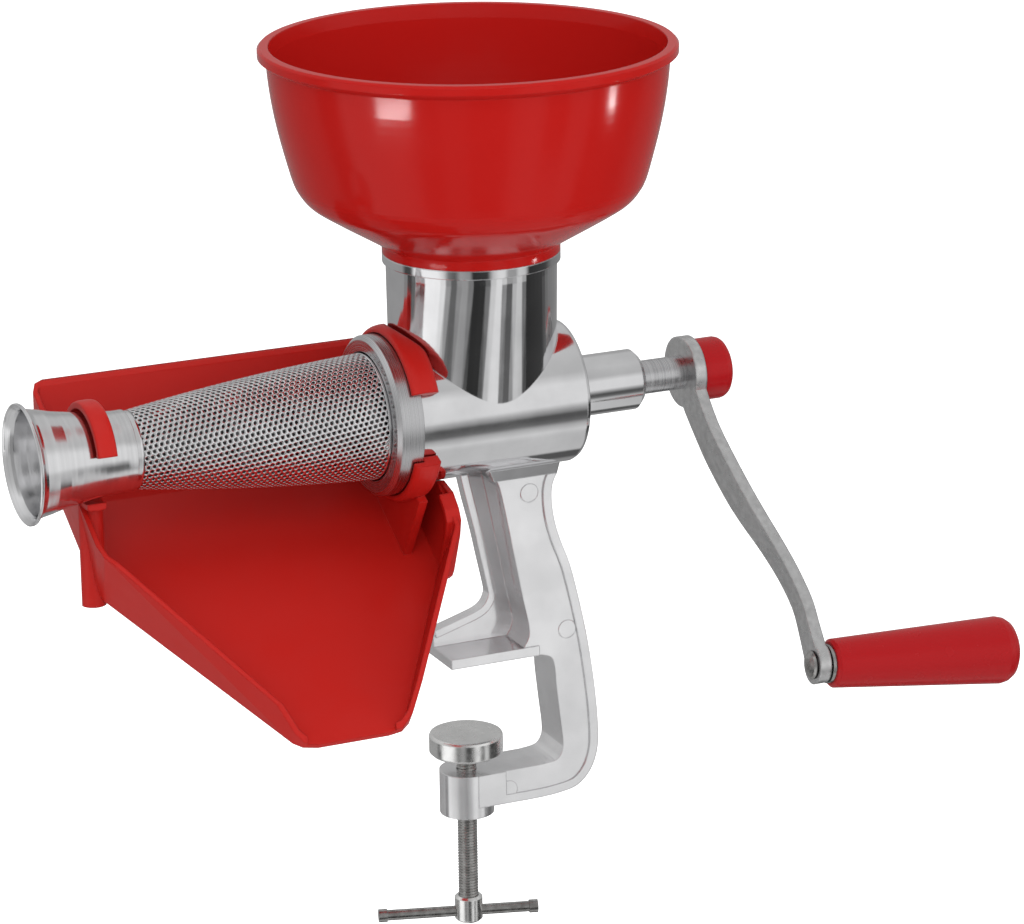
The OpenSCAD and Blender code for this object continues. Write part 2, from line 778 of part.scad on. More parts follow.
module grip() {
  far = grip_at + grip_len;
  mid = grip_far - 0.09 * grip_round;
  color("firebrick") on_grip() difference() {
    rotate_extrude() polygon([[0, grip_at], [0.88 * grip_near, grip_at],
      [grip_near, grip_at + 0.12 * grip_near], [grip_far, far - grip_round],
      [mid, far - 0.6 * grip_round],
      [grip_far - 0.29 * grip_round, far - 0.29 * grip_round],
      [grip_far - 0.6 * grip_round, far - 0.09 * grip_round],
      [grip_far - grip_round, far], [0, far]]);
    rod(grip_at - over, grip_at + spindle_in, spindle_r + 2 * run_gap + bar_gap);
  }
}

module pressure_pad() {
  edge = pad_t / 8;
  color("gainsboro") difference() {
    rotate_extrude() polygon([[0, -pad_drop - pad_t],
      [pad_r - edge, -pad_drop - pad_t], [pad_r, -pad_drop - pad_t + edge],
      [pad_r, -pad_drop - edge], [pad_r - 0.3 * edge, -pad_drop - 0.3 * edge],
      [pad_r - edge, -pad_drop], [0, -pad_drop]]);
    rod(-pad_drop - pad_t - over, -pad_drop - 0.35 * pad_t, thread_r + bar_gap);
    rod(-pad_drop - 0.75 * pad_t, -pad_drop - 0.35 * pad_t, 1.6 * thread_r);
  }
}

module pad_retainer() {
  color("dimgray") ring(-pad_drop - 0.75 * pad_t, -pad_drop - 0.6 * pad_t,
    1.6 * thread_r - tight, 0.8 * thread_r + bar_gap);
}

module clamp_screw() {
  neck = -pad_drop - 0.5 * pad_t;
  color("slategray") difference() {
    union() {
      rod(-hub_drop - 0.35 * hub_h, -pad_drop - 0.8 * pad_t, thread_r);
      rod(-pad_drop - 0.8 * pad_t - over, -pad_drop - 0.35 * pad_t,
        0.8 * thread_r);
      rod(neck, -pad_drop - 0.35 * pad_t, 1.4 * thread_r);
    }
    translate([0, 0, -hub_drop - 0.17 * hub_h]) rotate([90, 0, -bar_turn + 90])
      translate([0, 0, -hub_r]) cylinder(h = 2 * hub_r, r = 0.3 * bar_r + tight,
        $fn = 24);
  }
}

module screw_head() {
  edge = hub_r / 6;
  color("lightgray") difference() {
    rotate_extrude() polygon([[0, -hub_drop - hub_h],
      [hub_r - edge, -hub_drop - hub_h], [hub_r, -hub_drop - hub_h + edge],
      [hub_r, -hub_drop - edge], [hub_r - edge, -hub_drop], [0, -hub_drop]]);
    rod(-hub_drop - 0.35 * hub_h - tight, -hub_drop + over, thread_r + tight);
    on_bar() translate([0, 0, -2 * hub_r]) cylinder(h = 4 * hub_r, r = bar_r + bar_gap);
    translate([0, 0, -hub_drop - 0.17 * hub_h]) rotate([90, 0, -bar_turn + 90])
      translate([0, 0, -2 * hub_r]) cylinder(h = 4 * hub_r, r = 0.3 * bar_r + tight,
        $fn = 24);
  }
}

// the frame of the cross bar: Z along the bar
module on_bar() {
  translate([0, 0, -hub_drop - 0.65 * hub_h]) rotate([0, 0, -bar_turn])
    rotate([0, 90, 0]) children();
}

module head_pin() {
  color("dimgray") translate([0, 0, -hub_drop - 0.17 * hub_h])
    rotate([90, 0, -bar_turn + 90]) translate([0, 0, -0.98 * hub_r])
      cylinder(h = 1.96 * hub_r, r = 0.3 * bar_r, $fn = 24);
}

module tommy_bar() {
  color("lightgray") on_bar()
    rod(-bar_len / 2 - bar_shift, bar_len / 2 - bar_shift, bar_r);
}

module bar_ends() {
  end_r = bar_r + 2 * bar_gap;
  end_w = 1.6 * bar_r;
  color("silver") on_bar() for (side = [-1, 1])
    translate([0, 0, side * (bar_len - end_w) / 2 - bar_shift])
      ring(-end_w / 2, end_w / 2, end_r, bar_r + tight);
}

module tray_plan(shares, inset) {
  width = tray_left - tray_right;
  rear = tray_back + tray_h / tan(back_slope);
  lean = shares[0][0] * width;
  offset(delta = -inset) polygon(concat([for (q = shares)
    [-tray_left + q[0] * width, -q[1] * tray_front]],
    [[-tray_right - max(lean, 0) / 4, rear + over],
    [-tray_left + lean + 3.2 * tray_wall, rear + over],
    [-tray_left + lean + tray_wall, rear - 0.8 * tray_wall],
    [-tray_left + lean, rear - 3 * tray_wall]]));
}

// the space between the floor plan and the brim plan
module tray_space(inset) {
  hull() {
    linear_extrude(tight) tray_plan(floor_shares, inset);
    translate([0, 0, tray_h]) linear_extrude(tight)
      tray_plan(brim_shares, inset);
  }
}

// side view of the tray: floor, back wall and the falling top edge
module tray_side(up, shift) {
  rise = tray_h / tan(back_slope);
  translate([shift, up]) polygon([[-tray_front - over, 0], [tray_back, 0],
    [tray_back + rise, tray_h], [tray_back + rise, 2 * tray_h],
    [-tray_front - over, 2 * tray_h]]);
}

module tray_trough() {
  width = tray_left - tray_right;
  back_shift = tray_wall * (1 - 1 / cos(back_slope)) / tan(back_slope);
  difference() {
    tray_space(0);
    translate([-tray_left - over, 0, 0]) rotate([90, 0, 90])
      linear_extrude(width + 2 * over) difference() {
        translate([-2 * tray_front, -over]) square([4 * tray_front, 3 * tray_h]);
        tray_side(0, 0);
      }
    intersection() {
      union() {
        tray_space(tray_wall);
        translate([-tray_left + 0.4 * width, -tray_front - over, 0])
          cube([0.25 * width, 2 * tray_wall, tray_h]);
        translate([-tray_left + 4 * tray_wall, tray_back, 0])
          cube([width - 5 * tray_wall, tray_back, 2 * tray_h]);
      }
      translate([-tray_left, 0, 0]) rotate([90, 0, 90]) linear_extrude(width)
        tray_side(tray_wall, back_shift);
    }
    translate([-tray_left - over, 0, 0]) rotate([90, 0, 90])
      linear_extrude(width + 2 * over) polygon([
        [-0.1 * tray_front, tray_h], [-0.86 * tray_front, 0.5 * tray_h],
        [-tray_front, tray_wall], [-tray_front - over, tray_wall],
        [-tray_front - over, 2 * tray_h], [-0.1 * tray_front, 2 * tray_h]]);
  }
}

module tray_cheek() {
  lip = [for (q = cheek_shares) if (q[0] < -0.3) q * tray_drop];
  translate([-tray_right - 1.1 * tray_wall, 0, 0]) rotate([90, 0, 90])
    linear_extrude(1.1 * tray_wall) polygon(cheek_shares * tray_drop);
  translate([-tray_right - 3 * tray_wall, 0, 0]) rotate([90, 0, 90])
    linear_extrude(2.5 * tray_wall)
      polygon(concat(lip, inner(lip, tray_wall)));
}

// section of a strap with a crowned back, as shares of width and thickness
strap_shares = [[0, 0], [0, 0.72], [0.06, 0.86], [0.18, 0.96], [0.34, 1],
  [0.66, 1], [0.82, 0.96], [0.94, 0.86], [1, 0.72], [1, 0]];

// a crowned strap round the feed screw axis, centred at its frame; angles run
// from straight down
module strap(width, r, t, start, sweep) {
  rotate([0, 0, start]) rotate_extrude(angle = sweep)
    polygon([for (q = strap_shares) [r + q[1] * t, (q[0] - 1 / 2) * width]]);
}

module tray_leg() {
  bottom = tray_drop + 0.15 * tray_h;
  translate([chimney_x - tray_left + leg_w / 2 - 1.1 * tray_wall,
    leg_w / 2, axis_z - bottom])
    intersection() {
      cylinder(h = bottom - hook_r - hook_t / 2, r = leg_w / 2, $fn = 48);
      translate([-leg_w, -leg_w, 0]) cube([2 * leg_w, leg_w, bottom]);
    }
}

module drip_tray() {
  clip_x = -(clip_w + 0.172 * tray_left);
  ring_end = collar_x + collar_len + tray_gap;
  hook_x = -tray_left + hook_w / 2 - 0.75 * tray_wall;
  color("firebrick") difference() {
    union() {
      on_tray() {
        tray_trough();
        translate([clip_x + clip_w / 2, -0.05 * tray_front, tray_wall / 2])
          cube([clip_w / 3, 0.4 * tray_front, 1.1 * tray_h]);
      }
      on_axis() {
        translate([0, 0, hook_x]) strap(hook_w, hook_r, hook_t, hook_start, hook_sweep);
        translate([0, 0, clip_x + clip_w / 2])
          strap(clip_w, clip_r, clip_t, clip_start, clip_sweep);
      }
      tray_leg();
      translate([chimney_x, 0, axis_z]) tray_cheek();
    }
    on_axis() {
      rod(clip_x - tray_wall, -tray_right + over, clip_r - tight);
      rod(clip_x - tray_wall, ring_end, collar_r + tray_gap);
      rod(-2 * tray_left, clip_x - tray_wall, hook_r);
    }
    translate([chimney_x, 0, axis_z])
      scale([1, (foot_y + 6 * tray_gap) / (foot_x + 3 * tray_gap), 1])
        cylinder(h = chimney_h, r = foot_x + 3 * tray_gap);
  }
}

body_casting();
clamp_frame();
hopper();
filter_cone();
filter_collar();
waste_horn();
filter_gasket();
bayonet_pins();
auger();
auger_shaft();
shaft_bush();
shaft_seal();
thrust_washer();
crank_arm();
crank_washer();
crank_knob();
knob_stud();
grip();
grip_spindle();
grip_washer();
clamp_screw();
screw_head();
tommy_bar();
bar_ends();
pressure_pad();
pad_retainer();
head_pin();
drip_tray();
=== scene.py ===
"""Tomato strainer with crank: materials, perforated cone, thread, studio."""

import json
import math

import bmesh
import bpy
from mathutils import Matrix, Vector

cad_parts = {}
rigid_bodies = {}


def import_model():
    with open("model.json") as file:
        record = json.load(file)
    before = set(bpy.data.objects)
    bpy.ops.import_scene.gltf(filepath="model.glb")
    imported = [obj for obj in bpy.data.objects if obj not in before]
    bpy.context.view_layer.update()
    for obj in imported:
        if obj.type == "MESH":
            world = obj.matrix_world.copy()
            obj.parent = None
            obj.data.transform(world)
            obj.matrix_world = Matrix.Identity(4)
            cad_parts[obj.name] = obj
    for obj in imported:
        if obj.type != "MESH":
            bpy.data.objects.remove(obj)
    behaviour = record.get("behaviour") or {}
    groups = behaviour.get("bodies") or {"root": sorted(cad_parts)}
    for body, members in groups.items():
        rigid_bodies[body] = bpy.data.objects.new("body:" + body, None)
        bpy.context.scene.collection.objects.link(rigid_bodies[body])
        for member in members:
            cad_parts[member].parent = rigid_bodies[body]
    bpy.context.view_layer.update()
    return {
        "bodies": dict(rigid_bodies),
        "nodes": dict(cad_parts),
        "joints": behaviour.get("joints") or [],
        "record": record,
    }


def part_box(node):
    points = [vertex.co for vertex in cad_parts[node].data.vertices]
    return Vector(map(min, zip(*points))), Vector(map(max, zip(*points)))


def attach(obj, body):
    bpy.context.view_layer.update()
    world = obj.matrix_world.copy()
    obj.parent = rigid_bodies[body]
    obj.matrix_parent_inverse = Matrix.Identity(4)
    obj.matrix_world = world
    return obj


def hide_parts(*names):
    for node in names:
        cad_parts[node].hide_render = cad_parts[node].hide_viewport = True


MM = 0.001
TAU = 2 * math.pi
MERGE = 0.01           # mm under which two points are one

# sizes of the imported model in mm, as in part.scad; the feed screw axis runs
# along X at height AXIS_Z
AXIS_Z = 131
CHIMNEY_X = 7
CONE_END = 183.4       # from the chimney to the cone's small end
CONE_START = 54.2      # from the chimney to its big end
CONE_SMALL = 17.8
CONE_BIG = 30.9
CONE_BULGE = 1.8       # how far the side swells halfway along
SHEET_T = 0.7
THREAD_R = 5.0
THREAD_ROOT = 4.15
THREAD_PITCH = 1.5

# range that most of a noise texture stays in
NOISE_LOW, NOISE_HIGH = 0.3, 0.7

# the perforated sheet, in mm
HOLE_PITCH = 2.75
HOLE_R = 0.82
HOLE_SIDES = 12
SHOWN_T = 0.5          # sheet between the holes
MARGIN_SMALL = 2.2     # plain margins of the sheet, in hole pitches
MARGIN_BIG = 0.8
MARGIN_SEAM = 0.6
BAND_RISE = 0.05       # how far the plain end bands stand out
SEAM_HALF = 2.6

# flanks of the thread: height in one pitch, radius
THREAD_PROFILE = [(0, THREAD_ROOT), (0.19, THREAD_ROOT), (0.69, THREAD_R),
                  (0.81, THREAD_R), (1.31, THREAD_ROOT),
                  (THREAD_PITCH, THREAD_ROOT)]
THREAD_STEPS = 28
CORE_IN = 0.3          # chamfer of the rod's ends
CORE_OUT = 0.02        # core outside the thread's root, so that it closes

# the photograph's camera: place in mm, angles in degrees
CAMERA_AT = (-811.8, -1836.6, 721.9)
CAMERA_YAW, CAMERA_PITCH, CAMERA_ROLL = 24.55, 17.19, -0.75
SENSOR = 36
CAMERA_LENS = 4317 / 1024 * SENSOR

# floor, in metres
FLOOR_Z = -0.75
FLOOR_HALF = 6.0
FLOOR_GLOW = 0.75

# lamps, in metres and watts: name, place, size, power
LAMPS_AIM = (0, 0, 0.1)
LAMPS = [("key", (-0.75, -1.75, 0.95), 1.4, 16),
         ("fill", (1.9, -1.2, 0.7), 1.0, 6),
         ("top", (-0.1, -0.5, 1.7), 1.0, 5),
         ("back", (0.6, 1.8, 1.3), 1.2, 10)]
# soft boxes that only the hopper mirrors: name, place, width, power
GLINTS_AIM = (0, 0, 0.29)
GLINT_HEIGHT = 0.1
GLINTS = [("bowl_left", (-1.29, -0.55, -0.25), 0.5, 8),
          ("bowl_right", (1.28, -0.6, -0.2), 0.12, 2)]

# studio as metal sees it: grey levels once round, from behind the object by
# its left, its front (0.5) and its right
WALLS_FACE = 245.45    # degrees that turn the pattern to the camera
WALLS_LIGHT = 1.0
WORLD_LIGHT = 0.72
WALLS_LOW = [(0, 0.3), (0.22, 0.34), (0.24, 0.06), (0.268, 0.08),
             (0.285, 1.1), (0.38, 1.0), (0.4, 0.75), (0.418, 0.2),
             (0.444, 0.1), (0.462, 0.38), (0.497, 0.3), (0.507, 0.03),
             (0.56, 0.04), (0.578, 0.6), (0.6, 0.85), (0.63, 0.8),
             (0.705, 0.6), (0.722, 0.03), (0.81, 0.05), (0.85, 0.2),
             (1, 0.3)]
WALLS_HORIZON = [(0, 0.4), (0.3, 0.6), (0.4, 0.5), (0.5, 0.3), (0.59, 0.78),
                 (0.7, 0.86), (0.8, 0.4), (1, 0.4)]
WALLS_HIGH = [(0, 0.55), (0.3, 0.8), (0.45, 0.35), (0.6, 0.5), (0.75, 0.6),
              (1, 0.55)]
UNDER_AROUND = [(0, 0.55), (0.86, 0.6), (0.89, 0.1), (1, 0.1)]
# a dark gap in the lower wall: where it is once round
GAP_LEVEL = 0.1
GAP_AROUND = [(0, 0), (0.622, 0), (0.634, 1), (0.664, 1), (0.678, 0), (1, 0)]
# blends by height: 0 straight down, 0.5 level, 1 straight up
GAP_HEIGHT = [(0, 0), (0.14, 0), (0.2, 0.45), (0.236, 0.9), (0.285, 1),
              (0.32, 1), (0.35, 0.75), (0.39, 0.5), (0.45, 0), (1, 0)]
UNDER_TO_LOW = [(0, 0), (0.1, 0), (0.14, 1), (1, 1)]
LOW_TO_HORIZON = [(0, 0), (0.385, 0), (0.445, 1), (1, 1)]
HORIZON_TO_HIGH = [(0, 0), (0.69, 0), (0.8, 1), (1, 1)]


# --------------------------------------------------------------- node trees
def tree_math(tree, op, a, b=None):
    """A math node on sockets or numbers."""
    node = tree.nodes.new("ShaderNodeMath")
    node.operation = op
    for i, v in enumerate((a, b)):
        if isinstance(v, (int, float)):
            node.inputs[i].default_value = v
        elif v is not None:
            tree.links.new(v, node.inputs[i])
    return node.outputs[0]


def seen_directly(tree, *names):
    """1 for the named kinds of ray, else 0."""
    path = tree.nodes.new("ShaderNodeLightPath")
    total = path.outputs[names[0]]
    for name in names[1:]:
        total = tree_math(tree, "MAXIMUM", total, path.outputs[name])
    return total


def grey_ramp(tree, value, stops):
    """Piecewise grey level over a value from 0 to 1."""
    node = tree.nodes.new("ShaderNodeValToRGB")
    ramp = node.color_ramp
    while len(ramp.elements) < len(stops):
        ramp.elements.new(0.5)
    for element, (at, level) in zip(ramp.elements, stops):
        element.position = at
        element.color = (level, level, level, 1)
    tree.links.new(value, node.inputs[0])
    return node.outputs[0]


def blend_greys(tree, factor, a, b):
    """From a to b by the factor; b is a socket or one grey level."""
    node = tree.nodes.new("ShaderNodeMix")
    node.data_type = "RGBA"
    tree.links.new(factor, node.inputs["Factor"])
    tree.links.new(a, node.inputs["A"])
    if isinstance(b, (int, float)):
        node.inputs["B"].default_value = (b, b, b, 1)
    else:
        tree.links.new(b, node.inputs["B"])
    return node.outputs["Result"]


# ---------------------------------------------------------------- materials
class Shader:
    """A principled material with short helpers for its node tree."""

    def __init__(self, name, color, metallic, rough, **sockets):
        self.material = bpy.data.materials.new(name)
        self.material.use_nodes = True
        self.tree = self.material.node_tree
        self.nodes = self.tree.nodes
        self.bsdf = self.nodes["Principled BSDF"]
        self.bsdf.inputs["Base Color"].default_value = (*color, 1)
        self.bsdf.inputs["Metallic"].default_value = metallic
        self.bsdf.inputs["Roughness"].default_value = rough
        for key, value in sockets.items():
            self.bsdf.inputs[key.replace("_", " ")].default_value = value
        self.where = self.nodes.new("ShaderNodeTexCoord").outputs["Object"]

    def link(self, a, b):
        self.tree.links.new(a, b)

    def math(self, op, a, b=None):
        return tree_math(self.tree, op, a, b)

    def noise(self, scale, detail, vector=None):
        node = self.nodes.new("ShaderNodeTexNoise")
        node.inputs["Scale"].default_value = scale
        node.inputs["Detail"].default_value = detail
        self.link(vector or self.where, node.inputs["Vector"])
        return node.outputs[0]

    def turned(self, scale, detail):
        """Noise that runs in rings round the feed screw axis."""
        split = self.nodes.new("ShaderNodeSeparateXYZ")
        self.link(self.where, split.inputs[0])
        z = self.math("SUBTRACT", split.outputs[2], AXIS_Z * MM)
        y2 = self.math("POWER", split.outputs[1], 2)
        r = self.math("SQRT", self.math("ADD", y2, self.math("POWER", z, 2)))
        join = self.nodes.new("ShaderNodeCombineXYZ")
        self.link(split.outputs[0], join.inputs[0])
        self.link(r, join.inputs[1])
        return self.noise(scale, detail, vector=join.outputs[0])

    def ramp(self, value, low, high):
        """The middle of a noise spread from low to high."""
        node = self.nodes.new("ShaderNodeMapRange")
        node.inputs["From Min"].default_value = NOISE_LOW
        node.inputs["From Max"].default_value = NOISE_HIGH
        node.inputs["To Min"].default_value = low
        node.inputs["To Max"].default_value = high
        self.link(value, node.inputs["Value"])
        return node.outputs[0]

    def vary_color(self, value, low, high):
        node = self.nodes.new("ShaderNodeMix")
        node.data_type = "RGBA"
        node.inputs["A"].default_value = (*low, 1)
        node.inputs["B"].default_value = (*high, 1)
        self.link(self.ramp(value, 0, 1), node.inputs["Factor"])
        self.link(node.outputs["Result"], self.bsdf.inputs["Base Color"])

    def vary_rough(self, value, low, high):
        self.link(self.ramp(value, low, high), self.bsdf.inputs["Roughness"])

    def scatter(self, *radii):
        """How far each colour spreads under the surface, in metres."""
        self.bsdf.inputs["Subsurface Radius"].default_value = radii

    def relief(self, layers, edge, lift=0.0):
        """Bump from (value, depth in mm) layers over edges softened by mm.

        lift tips the normals up, as on a face with some draft.
        """
        bevel = self.nodes.new("ShaderNodeBevel")
        bevel.samples = 4
        bevel.inputs["Radius"].default_value = edge * MM
        normal = bevel.outputs[0]
        for value, depth in layers:
            bump = self.nodes.new("ShaderNodeBump")
            bump.inputs["Strength"].default_value = 1
            bump.inputs["Distance"].default_value = depth * MM
            self.link(value, bump.inputs["Height"])
            self.link(normal, bump.inputs["Normal"])
            normal = bump.outputs[0]
        if lift:
            node = self.nodes.new("ShaderNodeVectorMath")
            node.operation = "ADD"
            node.inputs[1].default_value = (0, 0, lift)
            self.link(normal, node.inputs[0])
            normal = node.outputs[0]
        self.link(normal, self.bsdf.inputs["Normal"])


def make_materials():
    """The look of each material slot, and of some pieces by themselves."""
    m = {}
    cast = Shader("polished_casting", (0.82, 0.82, 0.83), 1, 0.08)
    cast.vary_rough(cast.noise(90, 4), 0.05, 0.11)
    cast.vary_color(cast.noise(35, 5), (0.72, 0.72, 0.73), (0.86, 0.86, 0.87))
    cast.relief([(cast.noise(40, 2), 0.06)], 1.0)
    m["casting"] = cast.material

    frame = Shader("cast_frame", (0.84, 0.84, 0.85), 0.9, 0.12)
    frame.vary_rough(frame.noise(90, 4), 0.09, 0.17)
    frame.vary_color(frame.noise(35, 5), (0.76, 0.76, 0.77), (0.9, 0.9, 0.91))
    frame.relief([(frame.noise(40, 2), 0.05)], 0.8, lift=0.13)
    m["frame"] = frame.material

    arm = Shader("cast_arm", (0.66, 0.66, 0.66), 1, 0.3)
    arm.vary_rough(arm.noise(200, 4), 0.22, 0.42)
    arm.vary_color(arm.noise(300, 6), (0.58, 0.58, 0.58), (0.74, 0.74, 0.74))
    arm.relief([(arm.noise(420, 4), 0.05), (arm.noise(1500, 3), 0.01)], 1.2)
    m["arm"] = arm.material

    shell = Shader("red_shell", (0.44, 0.0105, 0.0085), 0, 0.12,
                   Subsurface_Weight=0.05, Specular_IOR_Level=0.13)
    shell.scatter(0.004, 0.0008, 0.0006)
    shell.vary_rough(shell.noise(60, 3), 0.1, 0.16)
    shell.relief([(shell.noise(45, 2), 0.03)], 0.9)
    m["red_shell"] = shell.material

    tray = Shader("red_tray", (0.46, 0.0125, 0.009), 0, 0.34,
                  Subsurface_Weight=0.12, Specular_IOR_Level=0.22)
    tray.scatter(0.006, 0.001, 0.0008)
    tray.vary_rough(tray.noise(60, 3), 0.3, 0.42)
    tray.relief([(tray.noise(30, 2), 0.05)], 1.4)
    m["red_tray"] = tray.material

    grip = Shader("red_grip", (0.36, 0.0055, 0.008), 0, 0.22,
                  Subsurface_Weight=0.04, Specular_IOR_Level=0.22)
    grip.scatter(0.003, 0.0006, 0.0006)
    grip.vary_rough(grip.noise(120, 3), 0.18, 0.3)
    grip.relief([(grip.noise(60, 2), 0.06)], 0.8)
    m["red_grip"] = grip.material

    sieve = Shader("sieve_steel", (0.82, 0.82, 0.83), 1, 0.16)
    sieve.vary_rough(sieve.noise(150, 3), 0.12, 0.2)
    sieve.vary_color(sieve.noise(60, 4), (0.74, 0.74, 0.75), (0.9, 0.9, 0.91))
    m["sieve"] = sieve.material

    satin = Shader("turned_steel", (0.58, 0.58, 0.59), 1, 0.26)
    rings = satin.turned(2200, 3)
    satin.vary_rough(rings, 0.2, 0.34)
    satin.vary_color(rings, (0.47, 0.47, 0.48), (0.68, 0.68, 0.69))
    satin.relief([(rings, 0.012)], 0.5)
    m["turned_steel"] = satin.material

    spun = Shader("spun_steel", (0.78, 0.78, 0.79), 1, 0.16)
    spun.vary_rough(spun.noise(60, 4), 0.12, 0.2)
    spun.vary_color(spun.turned(500, 3),
                    (0.74, 0.74, 0.75), (0.82, 0.82, 0.83))
    spun.relief([(spun.noise(50, 2), 0.08)], 0.5)
    m["satin_steel"] = spun.material

    screw = Shader("screw_steel", (0.39, 0.38, 0.37), 1, 0.24)
    screw.vary_rough(screw.noise(400, 4), 0.18, 0.34)
    screw.vary_color(screw.noise(250, 5), (0.28, 0.27, 0.26), (0.5, 0.5, 0.49))
    screw.relief([(screw.noise(600, 3), 0.015)], 0.4)
    m["screw_steel"] = screw.material

    pad = Shader("pad_steel", (0.8, 0.8, 0.79), 1, 0.22)
    pad.vary_rough(pad.noise(300, 4), 0.18, 0.3)
    pad.vary_color(pad.noise(120, 4), (0.84, 0.84, 0.83), (0.95, 0.95, 0.94))
    pad.relief([(pad.noise(200, 2), 0.015)], 0.6)
    m["pad"] = pad.material

    # painted shade: the feed screw is made near black so that the inside of
    # the cone, seen through the holes, reads as shade; the real plastic is
    # off-white
    feed = Shader("feed_plastic", (0.09, 0.09, 0.092), 0, 0.42)
    feed.vary_rough(feed.noise(100, 3), 0.38, 0.5)
    feed.relief([(feed.noise(500, 2), 0.01)], 0.5)
    m["feed_plastic"] = feed.material

    bush = Shader("bush_plastic", (0.6, 0.59, 0.55), 0, 0.45)
    bush.vary_rough(bush.noise(100, 3), 0.4, 0.5)
    m["bush"] = bush.material

    seal = Shader("seal_rubber", (0.03, 0.03, 0.03), 0, 0.6)
    seal.vary_rough(seal.noise(300, 3), 0.5, 0.7)
    m["seal"] = seal.material
    return m


# ------------------------------------------------------------------ meshes
def mesh_object(name, verts, faces, material, body):
    """A new piece from points in mm, riding on a body."""
    mesh = bpy.data.meshes.new(name)
    mesh.from_pydata([[c * MM for c in v] for v in verts], [], faces)
    bm = bmesh.new()
    bm.from_mesh(mesh)
    bmesh.ops.remove_doubles(bm, verts=bm.verts, dist=MERGE * MM)
    bmesh.ops.recalc_face_normals(bm, faces=bm.faces)
    bm.to_mesh(mesh)
    bm.free()
    for p in mesh.polygons:
        p.use_smooth = True
    mesh.materials.append(material)
    obj = bpy.data.objects.new(name, mesh)
    bpy.context.scene.collection.objects.link(obj)
    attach(obj, body)
    return obj


def apply_modifiers(obj):
    """Keep the mesh that the modifiers make, in place of the modifiers."""
    bpy.context.view_layer.update()
    graph = bpy.context.evaluated_depsgraph_get()
    mesh = bpy.data.meshes.new_from_object(obj.evaluated_get(graph))
    obj.modifiers.clear()
    obj.data = mesh


def cone_radius(k):
    """Outer radius of the cone, k from 0 at its small end to 1."""
    return (CONE_SMALL + (CONE_BIG - CONE_SMALL) * k
            + 4 * CONE_BULGE * k * (1 - k))


def on_cone(k, turn, sink=0.0):
    """Point on the cone: k from its small end, turn from straight down."""
    r = cone_radius(k) - sink
    x = CHIMNEY_X - CONE_END + (CONE_END - CONE_START) * k
    return (x, r * math.sin(turn), AXIS_Z - r * math.cos(turn))


def perforated_cone(material):
    """The rolled sheet with its rows of round holes, laid out flat first.

    Each hole is a ring of faces out to its six-sided cell.
    """
    slope = (CONE_BIG - CONE_SMALL) / (CONE_END - CONE_START)
    near, far = CONE_SMALL / slope, CONE_BIG / slope
    spread = TAU * slope
    corner = HOLE_PITCH / math.sqrt(3)
    verts, faces = [], []

    def place(px, py):
        rho, phi = math.hypot(px, py), math.atan2(py, px)
        k = min(max((rho - near) / (far - near), 0), 1)
        return on_cone(k, math.pi + phi / slope)

    row_step = 1.5 * corner
    rows = int(far * spread / row_step) + 2
    columns = range(int(near / HOLE_PITCH) - 2, int(far / HOLE_PITCH) + 2)
    first = near + MARGIN_SMALL * HOLE_PITCH
    last = far - MARGIN_BIG * HOLE_PITCH
    for row in range(-rows, rows + 1):
        cy = row * row_step
        shift = HOLE_PITCH / 2 if row % 2 else 0
        for col in columns:
            cx = col * HOLE_PITCH + shift
            rho, phi = math.hypot(cx, cy), math.atan2(cy, cx)
            reach = spread / 2 - MARGIN_SEAM * HOLE_PITCH / rho
            if not (first < rho < last and abs(phi) < reach):
                continue
            start = len(verts)
            for i in range(HOLE_SIDES):
                a = TAU * (i + 1) / HOLE_SIDES
                edge = HOLE_PITCH / 2 if i % 2 else corner
                verts.append(place(cx + edge * math.cos(a),
                                   cy + edge * math.sin(a)))
                verts.append(place(cx + HOLE_R * math.cos(a),
                                   cy + HOLE_R * math.sin(a)))
            for i in range(HOLE_SIDES):
                j = (i + 1) % HOLE_SIDES
                faces.append((start + 2 * i, start + 2 * j,
                              start + 2 * j + 1, start + 2 * i + 1))
    sheet = mesh_object("perforated_sheet", verts, faces, material, "frame")
    thick = sheet.modifiers.new("sheet", "SOLIDIFY")
    thick.thickness = SHOWN_T * MM
    thick.offset = -1
    apply_modifiers(sheet)
    return sheet


def cone_band(name, k0, k1, material):
    """A plain margin of the cone between two stations, turned all round."""
    parts, steps = 6, 96
    ks = [k0 + (k1 - k0) * i / parts for i in range(parts + 1)]
    side = [(on_cone(k, 0)[0], cone_radius(k)) for k in ks]
    profile = ([(x, r + BAND_RISE) for x, r in side]
               + [(x, r - SHEET_T) for x, r in reversed(side)])
    n = len(profile)
    verts, faces = [], []
    for i in range(steps):
        turn = TAU * i / steps
        verts += [(x, r * math.sin(turn), AXIS_Z - r * math.cos(turn))
                  for x, r in profile]
        a, b = i * n, ((i + 1) % steps) * n
        faces += [(a + k, a + (k + 1) % n, b + (k + 1) % n, b + k)
                  for k in range(n)]
    mesh_object(name, verts, faces, material, "frame")


def cone_seam(material):
    """The lapped seam along the underside of the rolled sheet."""
    verts, faces, steps = [], [], 24
    for i in range(steps + 1):
        k = i / steps
        half = SEAM_HALF / cone_radius(k)
        for sink in (0, SHEET_T):
            for a in (-half, 0, half):
                verts.append(on_cone(k, a, sink))
    for i in range(steps):
        a, b = 6 * i, 6 * i + 6
        faces += [(a, a + 1, b + 1, b), (a + 1, a + 2, b + 2, b + 1),
                  (a + 3, b + 3, b + 4, a + 4), (a + 4, b + 4, b + 5, a + 5),
                  (a, b, b + 3, a + 3), (a + 2, a + 5, b + 5, b + 2)]
    mesh_object("cone_seam", verts, faces, material, "frame")


